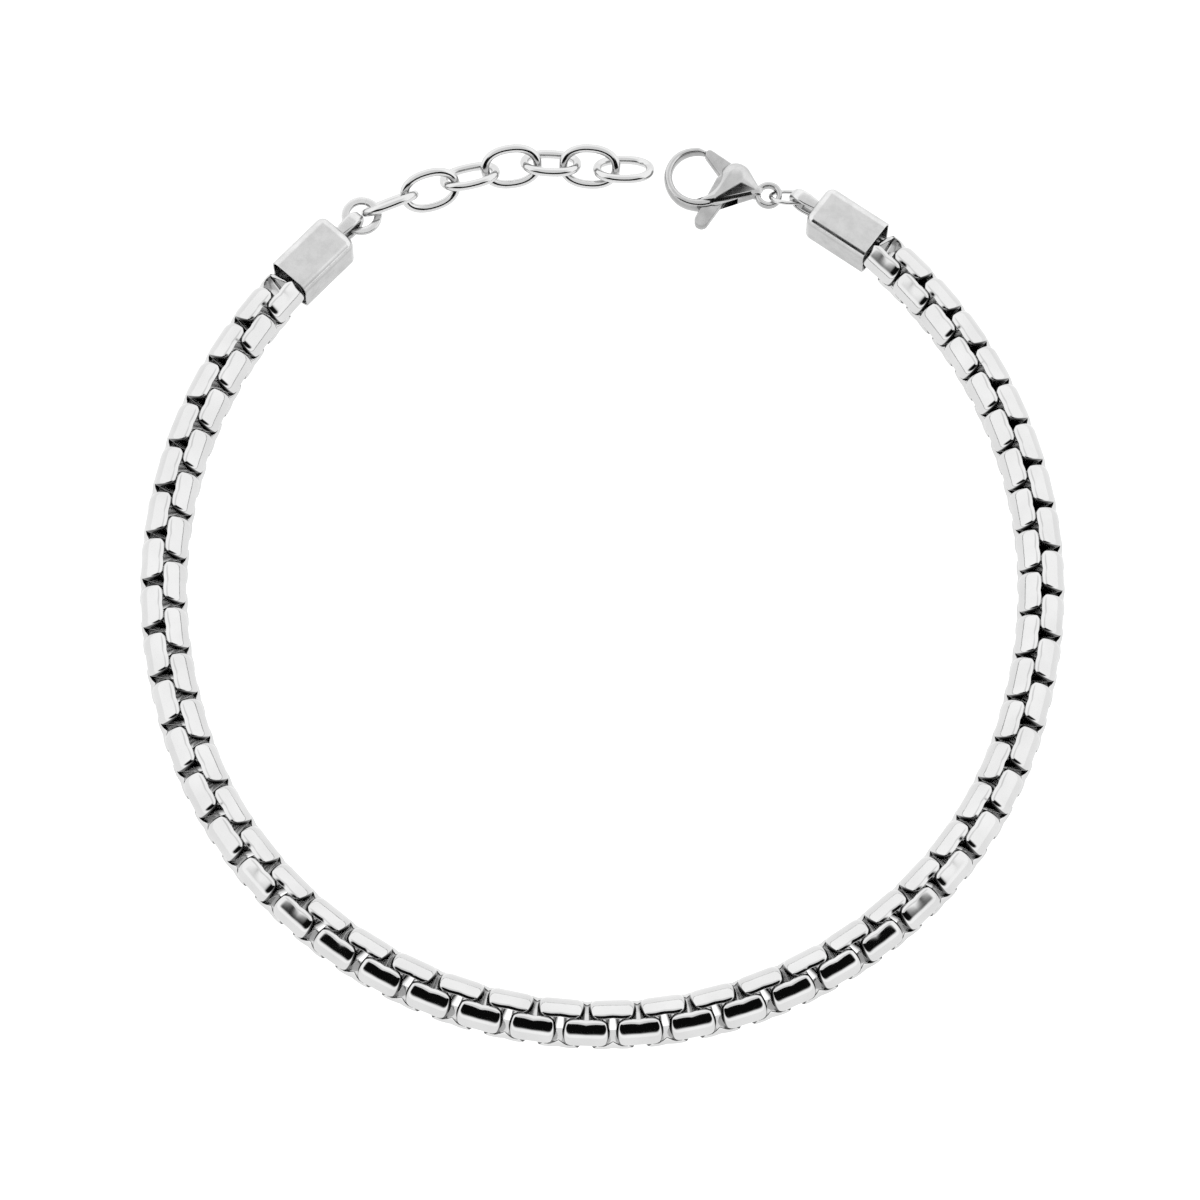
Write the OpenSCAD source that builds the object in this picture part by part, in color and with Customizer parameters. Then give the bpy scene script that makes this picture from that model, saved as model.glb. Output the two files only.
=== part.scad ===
// Box chain bracelet lying on a table, with end caps, an extender chain and a lobster clasp.
// Millimetres, +Z up. The origin is the middle of the bracelet's box, on the table.
// Seen from above with +Y away from the viewer, the chain runs clockwise from the right end cap.

/* [Box chain] */
// Number of links between the two end caps
link_count = 89; // [81:2:91]
// Outside length of one link along the chain
link_length = 3.62; // [3.58:0.02:3.66]
// Outside height of one link, plate to plate
link_height = 3.8; // [3.78:0.02:3.84]
// Width of the steel strip that a link is bent from
strip_width = 2.34; // [2.3:0.02:2.36]
// Thickness of the steel strip
strip_thickness = 0.62; // [0.6:0.01:0.63]
// Outer radius of the bends at a link's four corners
link_bend = 0.8; // [0.7:0.05:0.9]
// How much lower the strip's outside is at its edges than along its middle
strip_crown = 0.25; // [0.2:0.01:0.3]
// Mean distance between the middles of neighbouring links
mean_step = 1.986; // [1.975:0.001:1.99]
// How much the links are drawn apart at the front and pushed together at the back
step_swing = 0.125; // [0:0.005:0.13]
// How much more the links are drawn apart on the left than on the right
step_skew = 0.065; // [0:0.005:0.07]
// How many solids the chain is made in
run_count = 13; // [12:1:14]
// Diameter of the hidden thread that joins the links of one run
thread_d = 0.7; // [0.4:0.1:0.9]

/* [Route of the chain] */
// Radius of the round front half of the loop
loop_radius = 36; // [35:0.5:37]
// Extra radius that the loop has gained near its end caps
loop_flare = 3.4; // [3:0.1:3.8]
// Angle from the front where the loop starts to widen
flare_start = 75; // [70:1:80]
// Angle over which it gains the extra radius
flare_span = 65; // [60:1:70]
// Angle from the front of the first link, at the right end cap
first_angle = 141.8; // [141:0.2:143]
// Lean of the chain's upper corner, outward at the front
lean_front = 4; // [0:1:10]
// Lean of the chain's upper corner at both sides, outward is positive
lean_side = -2; // [-4:1:4]

/* [End caps] */
// Outside width and height of the square end cap
cap_side = 4; // [4:0.05:4.2]
// Length of the end cap
cap_length = 6.1; // [5.8:0.1:6.4]
// Radius of the cap's four long edges
cap_edge = 0.8; // [0.6:0.1:1]
// Radius of the corners at the cap's closed end
cap_corner = 1; // [0.8:0.1:1.2]
// Side of the square pocket for the chain
pocket_side = 3.66; // [3.6:0.01:3.68]
// Depth of the pocket
pocket_depth = 2.5; // [2:0.1:4]
// How far the chain's last link reaches into the pocket
link_insertion = 0.08; // [0.02:0.01:0.1]
// Direction in which the right end cap points
cap_heading_right = 144.5; // [143:0.5:146]
// Direction in which the left end cap points
cap_heading_left = 47; // [46:0.5:49]
// How far the soldered loop stands out of the cap's closed end
loop_reach = 2.6; // [2.5:0.05:2.65]
// Outside height of the soldered loop
loop_height = 2.25; // [2.2:0.05:2.3]
// Width of the loop's strip
loop_width = 0.85; // [0.8:0.05:0.85]
// Thickness of the loop's strip
loop_thickness = 0.45; // [0.4:0.01:0.45]

/* [Rings] */
// Outside diameter of the flat ring between the left cap and the extender
flat_ring_d = 3.45; // [3.4:0.05:3.5]
// Width of the flat ring's band
flat_ring_band = 0.65; // [0.6:0.01:0.65]
// Thickness of the flat ring's band
flat_ring_thickness = 0.45; // [0.4:0.05:0.45]
// Angle of the gap at the flat ring's joint
ring_joint = 2; // [1:0.5:3]
// Outside diameter of the round ring between the right cap and the clasp
clasp_ring_d = 3.3; // [3.25:0.05:3.3]
// Wire diameter of that ring
clasp_ring_wire = 0.4; // [0.35:0.01:0.4]

/* [Extender] */
// Outside length of an extender link
extender_length = 5.3; // [5.2:0.05:5.4]
// Outside width of an extender link
extender_width = 3.9; // [3.8:0.05:4]
// Wire diameter of an extender link
extender_wire = 0.76; // [0.7:0.02:0.76]

/* [Lobster clasp] */
// Thickness of the clasp's body
clasp_thickness = 2.6; // [2.5:0.1:2.8]
// Radius of the hook along the middle of its bar
hook_radius = 2.53; // [2.5:0.01:2.55]
// Width of the hook's bar, seen from above
hook_width = 0.76; // [0.7:0.02:0.8]
// Height of the hook's bar
hook_height = 1.4; // [1.3:0.1:1.5]
// Radius of the clasp's eye
eye_radius = 1.17; // [1.14:0.01:1.18]
// Radius of the hole in the eye
eye_hole = 0.7; // [0.69:0.01:0.74]
// Thickness of the eye
eye_thickness = 0.8; // [0.6:0.05:0.8]
// Thickness of the lever
lever_thickness = 1; // [0.9:0.05:1]
// Clearance round the lever in its slot
lever_gap = 0.06; // [0.05:0.01:0.08]
// Angle that the lever opens through
lever_travel = 28; // [20:1:30]
// Diameter of the lever's pivot pin
pin_d = 0.7; // [0.6:0.05:0.75]
// Radial running clearance between the pin and the lever
pin_gap = 0.04; // [0.03:0.01:0.06]

/* [Hidden] */
$fn = 48;
slim = 0.02;

// Middle of the round front half of the loop
loop_centre = [0, -2];

// Place of the flat ring, and the angle of its joint
flat_ring_place = [-20.52, 33.3, 1.9];
flat_ring_joint_angle = 75;

// Place of the clasp ring, its tilt about its own X, how much it rises to the right, and its heading
clasp_ring_place = [15.83, 35.28, 1.38];
clasp_ring_turn = [-46, -10.5, -13];

// Extender links from the flat ring to the free end
// Columns are x, y, heading and tilt, where a positive tilt raises the side away from the viewer
EXTENDER = [
    [-18.13, 34.53, 23, -61.5],
    [-14.71, 35.87, 17.5, 48],
    [-11.35, 37.25, 14, -38],
    [-7.80, 38.15, 9, 42],
    [-4.42, 38.50, -3, -36],
    [-1.08, 38.20, -5, 36],
    [1.82, 37.95, -1, -34]
];

// Clasp points measured from the lever's pivot, with the radius of the outline there
// Columns are x, y and radius
pivot_place = [11.4, 36.9];
BODY_TOP = [0, 0, 1.4];
BODY_FRONT = [-1.8, -1.85, 0.8];
BODY_ROOT = [-3.05, -2.15, 0.62];
BODY_NECK = [1.65, -1.1, 0.55];
EYE_NECK = [2.2, -1.25, 0.5];
GATE_TIP = [-2.2, 2.3, 0.42];
LEVER_HUB = [0, 0, 0.95];
TAB_ROOT = [-0.9, -0.4, 0.85];
TAB_TIP = [-2.94, -3.84, 0.6];
hook_centre = [-3.25, 0.23];
eye_centre = [2.8, -1.4];
hook_tip_angle = 75;
hook_root_angle = 292;
eye_edge = 0.22;

half_length = link_length / 2;
half_height = link_height / 2;
crown_radius = (pow(strip_width / 2, 2) + pow(strip_crown, 2)) / (2 * strip_crown);
crown_room = 0.02;
half_strip = strip_width / 2;
inner_bend = 0.15;
loop_edge = 0.2;
edge_height = half_height - strip_crown;
corner_reach = norm([edge_height, half_strip]);
corner_offset = 45 - atan(half_strip / edge_height);
cap_middle = cap_side / 2;
cap_wall = (cap_side - pocket_side) / 2;
clasp_middle = clasp_thickness / 2;

// Radius of the loop at an angle counted from the front, positive to the right
function flare_part(angle) = max(0, (abs(angle) - flare_start) / flare_span);
function route_radius(angle) = loop_radius + loop_flare * pow(flare_part(angle), 1.5);
function route_growth(angle) =
    sign(angle) * loop_flare * 1.5 * sqrt(flare_part(angle)) / flare_span * 180 / PI;
function route_point(angle) = loop_centre + route_radius(angle) * [sin(angle), -cos(angle)];

// Direction of travel, clockwise seen from above
function route_heading(angle) = atan2(
    route_growth(angle) * cos(angle) - route_radius(angle) * sin(angle),
    -route_growth(angle) * sin(angle) - route_radius(angle) * cos(angle)
);
function route_turn(length, angle) =
    length / norm([route_radius(angle), route_growth(angle)]) * 180 / PI;
function link_step(angle) = mean_step + step_swing * cos(angle) - step_skew * sin(angle);
function next_angle(angle) = angle - route_turn(link_step(angle), angle);
link_angles = [
    for (i = 0, angle = first_angle; i < link_count; angle = next_angle(angle), i = i + 1) angle
];
last_angle = link_angles[link_count - 1];
mouth_reach = half_length - link_insertion;
right_mouth = first_angle + route_turn(mouth_reach, first_angle);
left_mouth = last_angle - route_turn(mouth_reach, last_angle);

// The chain lies corner up, leaning a little, with its lowest corner on the table
function chain_lean(angle) = lean_side + (lean_front - lean_side) * cos(angle);
function chain_height(angle) =
    corner_reach * cos(max(0, corner_offset - abs(chain_lean(angle))));
function extender_height(tilt) =
    (extender_width - extender_wire) / 2 * sin(abs(tilt)) + extender_wire / 2;

// The first link of each run, shared out evenly
function run_start(run) = floor(run * link_count / run_count);

function run_name(run) = str("chain_run_", run + 1);
function extender_name(k) = str("extender_link_", k + 1);

// Rectangle with round corners, centred
module round_rectangle(length, height, radius) {
    square([length - 2 * radius, height], center = true);
    square([length, height - 2 * radius], center = true);
    for (x = [-1, 1]) {
        for (y = [-1, 1]) {
            translate([x * (length / 2 - radius), y * (height / 2 - radius)])
                circle(r = radius);
        }
    }
}

// Outline of a bar that tapers from one round end to the other
// The ends are rows of x, y and radius, and extra is added to both radii
module tapered_bar(from, to, extra = 0) {
    run = [to[0] - from[0], to[1] - from[1]];
    along = run / norm(run);
    lean = (to[2] - from[2]) / norm(run);
    square_part = sqrt(1 - lean * lean);
    left = square_part * [-along[1], along[0]] - lean * along;
    right = square_part * [along[1], -along[0]] - lean * along;
    start = [from[0], from[1]];
    end = [to[0], to[1]];
    polygon([
        start + (from[2] + extra) * left,
        start + (from[2] + extra) * right,
        end + (to[2] + extra) * right,
        end + (to[2] + extra) * left
    ]);
    translate(start)
        circle(r = from[2] + extra);
    translate(end)
        circle(r = to[2] + extra);
}

// One link, a short ring of strip: length along X, plates facing +Y and -Y, strip width along Z
module box_link() {
    intersection() {
        linear_extrude(height = strip_width, center = true)
            difference() {
                round_rectangle(
                    link_length + 2 * crown_room,
                    link_height + 2 * crown_room,
                    link_bend + crown_room
                );
                round_rectangle(
                    link_length - 2 * strip_thickness,
                    link_height - 2 * strip_thickness,
                    inner_bend
                );
            }
        crowned_bar(link_height);
        rotate([0, 0, 90])
            crowned_bar(link_length);
    }
}

// Long bar along X whose faces toward +Y and -Y are crowned
module crowned_bar(height) {
    intersection() {
        translate([0, height / 2 - crown_radius, 0])
            rotate([0, 90, 0])
                cylinder(r = crown_radius, h = 2 * link_height, center = true);
        translate([0, crown_radius - height / 2, 0])
            rotate([0, 90, 0])
                cylinder(r = crown_radius, h = 2 * link_height, center = true);
    }
}

// Puts its children on the route, X along the chain and the upper corner leaning outward
module on_route(angle) {
    point = route_point(angle);
    translate([point[0], point[1], chain_height(angle)])
        rotate([0, 0, route_heading(angle)])
            rotate([-chain_lean(angle), 0, 0])
                children();
}

// Even links face up and inward, odd links up and outward
module chain_link(i) {
    on_route(link_angles[i])
        rotate([i % 2 == 0 ? 135 : 45, 0, 0])
            box_link();
}

// Hidden thread between two links, just long enough to reach both
module link_thread(i) {
    on_route((link_angles[i] + link_angles[i + 1]) / 2)
        rotate([0, 90, 0])
            cylinder(d = thread_d, h = 2 * strip_thickness - 0.2, center = true);
}

module chain_run(run) {
    first = run_start(run);
    last = run_start(run + 1) - 1;
    color("gainsboro") {
        for (i = [first : last]) {
            chain_link(i);
        }
        for (i = [first : last - 1]) {
            link_thread(i);
        }
    }
}

// Square cap with round long edges and a round closed end, along X from its open mouth
module cap_shell() {
    intersection() {
        rotate([90, 0, 90])
            linear_extrude(height = cap_length)
                round_rectangle(cap_side, cap_side, cap_edge);
        translate([0, 0, -cap_side])
            linear_extrude(height = 2 * cap_side)
                cap_outline();
        rotate([90, 0, 0])
            translate([0, 0, -cap_side])
                linear_extrude(height = 2 * cap_side)
                    cap_outline();
    }
}

// Side outline of the cap: the mouth is square and the far corners are round
module cap_outline() {
    translate([0, -cap_middle])
        square([cap_length - cap_corner, cap_side]);
    translate([0, -cap_middle + cap_corner])
        square([cap_length, cap_side - 2 * cap_corner]);
    for (y = [-1, 1]) {
        translate([cap_length - cap_corner, y * (cap_middle - cap_corner)])
            circle(r = cap_corner);
    }
}

// Upright loop of strip soldered to the cap's closed end, with a round outer end
module cap_loop() {
    bend = (loop_height - loop_thickness) / 2;
    straight = loop_reach - loop_height / 2;
    for (side = [-1, 1]) {
        translate([cap_length - loop_thickness, 0, side * bend])
            rotate([90, 0, 90])
                linear_extrude(height = straight + loop_thickness)
                    round_rectangle(loop_width, loop_thickness, loop_edge);
    }
    translate([cap_length + straight, 0, 0])
        rotate([90, 0, 0])
            rotate([0, 0, -90])
                rotate_extrude(angle = 180)
                    translate([bend, 0])
                        round_rectangle(loop_thickness, loop_width, loop_edge);
}

module end_cap(mouth_angle, heading) {
    point = route_point(mouth_angle);
    color("silver")
        translate([point[0], point[1], cap_middle])
            rotate([0, 0, heading])
                difference() {
                    union() {
                        cap_shell();
                        cap_loop();
                    }
                    translate([-slim, 0, 0])
                        rotate([90, 0, 90])
                            linear_extrude(height = pocket_depth + slim)
                                round_rectangle(pocket_side, pocket_side, cap_edge - cap_wall);
                }
}

module flat_ring() {
    color("silver")
        translate(flat_ring_place)
            rotate([0, 0, flat_ring_joint_angle])
                rotate_extrude(angle = 360 - ring_joint)
                    translate([(flat_ring_d - flat_ring_band) / 2, 0])
                        round_rectangle(flat_ring_band, flat_ring_thickness, 0.12);
}

module clasp_ring() {
    color("silver")
        translate(clasp_ring_place)
            rotate(clasp_ring_turn)
                rotate_extrude()
                    translate([(clasp_ring_d - clasp_ring_wire) / 2, 0])
                        circle(d = clasp_ring_wire);
}

// Oval link of round wire, long along X
module oval_link() {
    bend = (extender_width - extender_wire) / 2;
    straight = extender_length - extender_width;
    for (side = [-1, 1]) {
        translate([side * straight / 2, 0, 0])
            rotate([0, 0, side * 90 - 180])
                rotate_extrude(angle = 180)
                    translate([bend, 0])
                        circle(d = extender_wire);
        translate([0, side * bend, 0])
            rotate([0, 90, 0])
                cylinder(d = extender_wire, h = straight, center = true);
    }
}

module extender_link(k) {
    row = EXTENDER[k];
    color("whitesmoke")
        translate([row[0], row[1], extender_height(row[3])])
            rotate([0, 0, row[2]])
                rotate([row[3], 0, 0])
                    oval_link();
}

// Outline of the lever with its gate and thumb tab
module lever_outline(extra) {
    tapered_bar(GATE_TIP, LEVER_HUB, extra);
    tapered_bar(TAB_ROOT, LEVER_HUB, extra);
    tapered_bar(TAB_TIP, TAB_ROOT, extra);
}

// Outline of the clasp's drop-shaped body, trimmed where the hook's opening reaches it
module body_outline() {
    difference() {
        union() {
            tapered_bar(BODY_FRONT, BODY_TOP);
            tapered_bar(BODY_ROOT, BODY_FRONT);
            tapered_bar(BODY_NECK, BODY_TOP);
            tapered_bar(BODY_NECK, BODY_FRONT);
            tapered_bar(BODY_FRONT, BODY_NECK);
        }
        translate(hook_centre)
            circle(r = hook_radius - hook_width / 2);
    }
}

// Space that the lever needs between the body's two cheeks over its whole travel
module lever_slot() {
    steps = 4;
    translate([0, 0, -lever_thickness / 2 - lever_gap])
        for (k = [0 : steps]) {
            rotate([0, 0, k * lever_travel / steps])
                linear_extrude(height = lever_thickness + 2 * lever_gap)
                    lever_outline(lever_gap);
        }
}

module hook() {
    translate(hook_centre)
        rotate([0, 0, hook_tip_angle])
            rotate_extrude(angle = hook_root_angle - hook_tip_angle)
                translate([hook_radius, 0])
                    round_rectangle(hook_width, hook_height, 0.3);
}

module at_pivot() {
    translate([pivot_place[0], pivot_place[1], clasp_middle])
        children();
}

module clasp_body() {
    color("lightgray")
        at_pivot()
            difference() {
                union() {
                    difference() {
                        union() {
                            linear_extrude(height = clasp_thickness, center = true)
                                body_outline();
                            hook();
                        }
                        lever_slot();
                        cylinder(d = pin_d + slim, h = clasp_thickness - 0.6, center = true);
                    }
                    linear_extrude(height = eye_thickness, center = true)
                        tapered_bar(BODY_NECK, EYE_NECK);
                    translate(eye_centre)
                        rotate_extrude()
                            translate([(eye_radius + eye_hole) / 2, 0])
                                round_rectangle(eye_radius - eye_hole, eye_thickness, eye_edge);
                }
                translate(eye_centre)
                    cylinder(r = eye_hole, h = 2 * eye_thickness, center = true);
            }
}

module clasp_lever() {
    color("darkgray")
        at_pivot()
            difference() {
                linear_extrude(height = lever_thickness, center = true)
                    lever_outline(0);
                cylinder(d = pin_d + 2 * pin_gap, h = 2 * lever_thickness, center = true);
            }
}

module lever_pin() {
    color("dimgray")
        at_pivot()
            cylinder(d = pin_d, h = clasp_thickness - 0.64, center = true);
}

for (run = [0 : run_count - 1]) {
    chain_run(run);
}
for (k = [0 : len(EXTENDER) - 1]) {
    extender_link(k);
}
end_cap(right_mouth, cap_heading_right);  // end_cap_right
end_cap(left_mouth, cap_heading_left);  // end_cap_left
flat_ring();
clasp_ring();
clasp_body();
clasp_lever();
lever_pin();
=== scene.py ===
# Looks of the box chain bracelet: polished chain, satin end caps, oval extender links and a lobster clasp.
# Shapes are worked out in millimetres in the part's own frame, and scaled to metres when a piece is finished.
import math
import random

import bmesh
import bpy
from mathutils import Matrix, Vector


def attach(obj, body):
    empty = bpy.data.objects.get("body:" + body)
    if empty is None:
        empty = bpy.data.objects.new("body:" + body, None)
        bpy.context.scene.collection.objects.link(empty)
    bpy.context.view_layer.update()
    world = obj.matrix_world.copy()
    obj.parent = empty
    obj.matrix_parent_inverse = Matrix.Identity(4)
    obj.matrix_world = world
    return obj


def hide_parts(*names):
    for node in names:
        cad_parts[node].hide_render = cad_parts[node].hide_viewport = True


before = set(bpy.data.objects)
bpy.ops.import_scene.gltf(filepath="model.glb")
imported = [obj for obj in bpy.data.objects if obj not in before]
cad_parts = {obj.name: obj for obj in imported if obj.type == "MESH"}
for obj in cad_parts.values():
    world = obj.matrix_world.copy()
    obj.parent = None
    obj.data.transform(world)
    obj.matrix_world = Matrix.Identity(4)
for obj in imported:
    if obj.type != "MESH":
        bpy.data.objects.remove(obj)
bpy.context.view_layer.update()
MM = 0.001
X_AXIS = Vector((1, 0, 0))
Z_AXIS = Vector((0, 0, 1))
ORIGIN = Vector((0, 0, 0))

# Cosines between directions that count as the same, and as square to each other
FACES_THAT_WAY = 0.9
RUNS_THAT_WAY = 0.999
SQUARE_TO = 0.1
# Two points this near each other are one
SAME_PLACE = 1e-4

# Box chain. A link's length runs along the chain and its height goes from plate to plate
LINKS = 89
RUNS = 13
LINK_LENGTH = 3.62
LINK_HEIGHT = 3.8
STRIP_WIDTH = 2.34
STRIP_THICKNESS = 0.62
LINK_BEND = 0.8
RIM_EDGE = 0.1
RIM_FOLD = 60
# The higher, the nearer to its rims the inside of the strip is duller and painted with shade
RIM_FADE = 8
# Share of the gap between two links of a row that they are stretched to take up
GAP_FILL = 0.4
# Degrees that a link rolls to lie corner up, and the most that it rolls at random besides
CORNER_UP = 45
LOOSE_ROLL = 0.4
ROLL_SEED = 7

# Pressed shape of a link. The strip's outer face is crowned, and its outer bends are squarer than the round
# ones that a power of 2 would give. The plates swell and slant, with a notch in the middle of their upper
# edge and, on the lower plate, a lip inside that edge. The strip is narrower round the link's ends
STRIP_CROWN = 0.25
BEND_POWER = 3.2
PLATE_REACH = 1.7
RIDGE_SWELL = 0.12
EDGE_SLANT = 0.1
PLATE_NOTCH = 0.1
INNER_LIP = 0.42
NOTCH_WIDTH = 0.35
END_START = 0.8
UPPER_ROUNDING = 0.4
LOWER_ROUNDING = 0.78

# Route of the chain, the same as the part's, with its angles counted from the front. A step goes from the
# middle of one link to the next
LOOP_CENTRE = Vector((0, -2))
LOOP_RADIUS = 36
LOOP_FLARE = 3.4
FLARE_POWER = 1.5
FLARE_START = 75
FLARE_SPAN = 65
FIRST_ANGLE = 141.8
MEAN_STEP = 1.986
STEP_SWING = 0.125
STEP_SKEW = 0.065
LEAN_FRONT = 4
LEAN_SIDE = -2

# End caps, each with an upright loop of strip
CAP_SIDE = 4
CAP_LENGTH = 6.1
CAP_EDGE = 0.8
CAP_CORNER = 0.72
CAP_WALL = 0.17
MOUTH_EDGE = 0.045
POCKET_DEPTH = 2.5
# How far the first and last links go into the caps
LINK_ENTRY = 0.08
CAP_HEADING = {"right": 144.5, "left": 47}
LOOP_REACH = 2.6
LOOP_HEIGHT = 2.25
LOOP_WIDTH = 0.85
LOOP_THICKNESS = 0.45
LOOP_EDGE = 0.18
LOOP_ROOT = 0.3
LOOP_LEG_PARTS = 5
LOOP_SWELL = 0.35

# Rings and extender
FLAT_RING_D = 3.45
FLAT_RING_BAND = 0.65
FLAT_RING_THICKNESS = 0.45
FLAT_RING_EDGE = 0.09
FLAT_RING_SWEEP = 358
FLAT_RING_JOINT = 75
FLAT_RING_PLACE = Vector((-20.52, 33.3, 1.9))
CLASP_RING_D = 3.3
CLASP_RING_WIRE = 0.4
CLASP_RING_PLACE = Vector((15.83, 35.28, 1.38))
CLASP_RING_TURN = (-46, -10.5, -13)
EXTENDER_LENGTH = 5.3
EXTENDER_WIDTH = 3.9
EXTENDER_WIRE = 0.76
OVAL_POWER = 2.25
# Columns are x, y, heading and tilt
EXTENDER = (
    (-18.13, 34.53, 23, -61.5),
    (-14.71, 35.87, 17.5, 48),
    (-11.35, 37.25, 14, -38),
    (-7.80, 38.15, 9, 42),
    (-4.42, 38.50, -3, -36),
    (-1.08, 38.20, -5, 36),
    (1.82, 37.95, -1, -34),
)

# Lobster clasp, measured from the lever's pivot. The columns of its discs are x, y, radius and half thickness
PIVOT = Vector((11.4, 36.9, 1.3))
BODY_TOP = (0, 0, 1.4, 1.3)
BODY_FRONT = (-1.8, -1.85, 0.8, 1.2)
BODY_ROOT = (-3.05, -2.15, 0.5, 0.75)
BODY_NECK = (1.65, -1.1, 0.5, 0.62)
EYE_NECK = (2.2, -1.25, 0.42, 0.36)
GATE_TIP = (-2.2, 2.3, 0.4, 0.5)
LEVER_HUB = (0, 0, 0.95, 0.5)
TAB_ROOT = (-0.9, -0.4, 0.85, 0.5)
TAB_TIP = (-2.94, -3.84, 0.6, 0.5)
LEVER_PARTS = ((GATE_TIP, LEVER_HUB), (TAB_ROOT, LEVER_HUB), (TAB_TIP, TAB_ROOT))
LEVER_GAP = 0.05
LEVER_TRAVEL = 28
LEVER_BORE = 0.39
PIN_RADIUS = 0.35
PIN_HALF = 0.95
EYE_CENTRE = Vector((2.8, -1.4, 0))
EYE_RADIUS = 1.17
EYE_HOLE = 0.7
EYE_THICKNESS = 0.8
EYE_EDGE = 0.2
HOOK_CENTRE = Vector((-3.25, 0.23, 0))
HOOK_INNER = 2.15
HOOK_TIP_EDGE = 0.14
# The hook's section is a little fuller than an ellipse, whose power would be 1
HOOK_FULLNESS = 0.8
# Columns are angle round the hook, width of its bar and half height there
HOOK_SHAPE = (
    (72, 0.40, 0.42),
    (92, 0.58, 0.56),
    (140, 0.68, 0.66),
    (200, 0.74, 0.72),
    (255, 0.82, 0.78),
    (296, 0.96, 0.86),
)
# Edges of the clasp's parts. Columns are share of the half thickness and how far the outline draws in there
DOME = ((0.25, 0.0), (0.45, 0.05), (0.62, 0.14), (0.76, 0.28), (0.87, 0.46), (0.95, 0.66), (1.0, 0.9))
PLATE = ((0.72, 0.0), (0.92, 0.05), (1.0, 0.14))
SQUARE = ((1.0, 0.0),)
SMALLEST_DISC = 0.03
HULL_FLATNESS = 0.4
# Half height of a drum that cuts right through the clasp
RIGHT_THROUGH = 2

# Angles past which an edge shows as an edge
SOFT_ANGLE = 50
CLASP_SOFT_ANGLE = 38

# Materials. Steel gives back about two thirds of the light, and the studio is lit to make up for it
STEEL = 0.68
BUMP_DEPTH = 0.02
CHAIN_TONE = 0.91
CHAIN_SMUDGE = 0.18
# Painted shade: how much darker the insides of the links are painted
CHAIN_INSIDE_SHADE = 0.1
# Painted shade: how much darker the bends at the links' ends are painted
CHAIN_BEND_SHADE = 0.84
CHAIN_BUMP = 0.025
WIRE_TONE = 0.86
WIRE_SMUDGE = 0.08
WIRE_BUMP = 0.12
# Painted shade: how much darker upright satin faces are painted than their tops
SATIN_UPRIGHT_SHADE = 0.26
SATIN_SPECKS = 0.08
# Columns are tone, roughness, depth of the clouds and strength of the grain
CAP_SATIN = (0.88, 0.13, 0.12, 0.06)
RING_SATIN = (0.9, 0.14, 0.08, 0.04)
CLASP_SATIN = (0.74, 0.1, 0.1, 0.04)
LEVER_SATIN = (0.68, 0.2, 0.14, 0.1)

# Studio. The light's levels and its dark band go by height, from 0 at the horizon to 1 overhead
TABLE_REACH = 3000
TABLE_GREY = 0.16
TABLE_GLOW = 1.16
SKY_LEVEL = 1.04
OVERHEAD_LEVEL = 0.76
OVERHEAD = (0.72, 0.93)
BAND_START = (0.18, 0.34)
BAND_END = (0.79, 0.86)
BAND_DARKNESS = 0.997
BAND_SPREAD = 0.46
BAND_BLUR = 0.1

# Camera, at the front and looking down. It shows what is between its clip distances, in metres
CAMERA_TARGET = Vector((-0.2, -1.6, 2.1))
CAMERA_DISTANCE = 450
CAMERA_TILT = 20
CAMERA_LENS = 162.66
CAMERA_SENSOR = 36
CAMERA_CLIP = (0.01, 20)


def detail(full):
    return full


def degrees_cos(angle):
    return math.cos(math.radians(angle))


def degrees_sin(angle):
    return math.sin(math.radians(angle))


def turned(*angles):
    """Turns about X, then Y, then Z, in degrees."""
    x, y, z = (math.radians(angle) for angle in angles)
    return Matrix.Rotation(z, 4, "Z") @ Matrix.Rotation(y, 4, "Y") @ Matrix.Rotation(x, 4, "X")


def signed_power(value, power):
    """The value's size to a power, with the value's sign."""
    return math.copysign(abs(value) ** power, value)


# Shapes and finished pieces
def object_from(bm, name):
    """Puts a shape into the scene as an object."""
    mesh = bpy.data.meshes.new(name)
    bm.to_mesh(mesh)
    bm.free()
    made = bpy.data.objects.new(name, mesh)
    bpy.context.collection.objects.link(made)
    return made


def smooth_piece(bm, name, node, paint, body="bracelet", soft_angle=SOFT_ANGLE):
    """Turns a shape in millimetres into a finished piece that replaces its CAD node."""
    bmesh.ops.transform(bm, matrix=Matrix.Scale(MM, 4), verts=bm.verts)
    bmesh.ops.recalc_face_normals(bm, faces=bm.faces)
    piece = object_from(bm, name)
    piece.data.shade_smooth()
    piece.data.set_sharp_from_angle(angle=math.radians(soft_angle))
    piece.data.materials.append(paint)
    shading = piece.modifiers.new("even_shading", "WEIGHTED_NORMAL")
    shading.keep_sharp = True
    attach(piece, body)
    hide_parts(node)


def add_copy(bm, source, matrix):
    """Adds a copy of a mesh to a shape, moved by a matrix."""
    copied = source.copy()
    copied.transform(matrix)
    bm.from_mesh(copied)
    bpy.data.meshes.remove(copied)


def only(kind, items):
    """The items of one kind: vertices, edges or faces."""
    return [item for item in items if isinstance(item, kind)]


def edges_where(bm, test):
    return [edge for edge in bm.edges if test(edge)]


def runs_along(edge, axis):
    """True if the edge runs along that axis, 0 for X to 2 for Z."""
    step = edge.verts[1].co - edge.verts[0].co
    return abs(step[axis]) > RUNS_THAT_WAY * step.length


def faces_towards(bm, *directions):
    """The faces that look in one of the directions."""
    return [face for face in bm.faces if any(face.normal.dot(way) > FACES_THAT_WAY for way in directions)]


def bevel(bm, geometry, width, segments, affect="EDGES"):
    bmesh.ops.bevel(
        bm, geom=geometry, offset=width, offset_type="OFFSET", segments=segments, profile=0.5,
        affect=affect, material=-1, clamp_overlap=True,
    )


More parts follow.
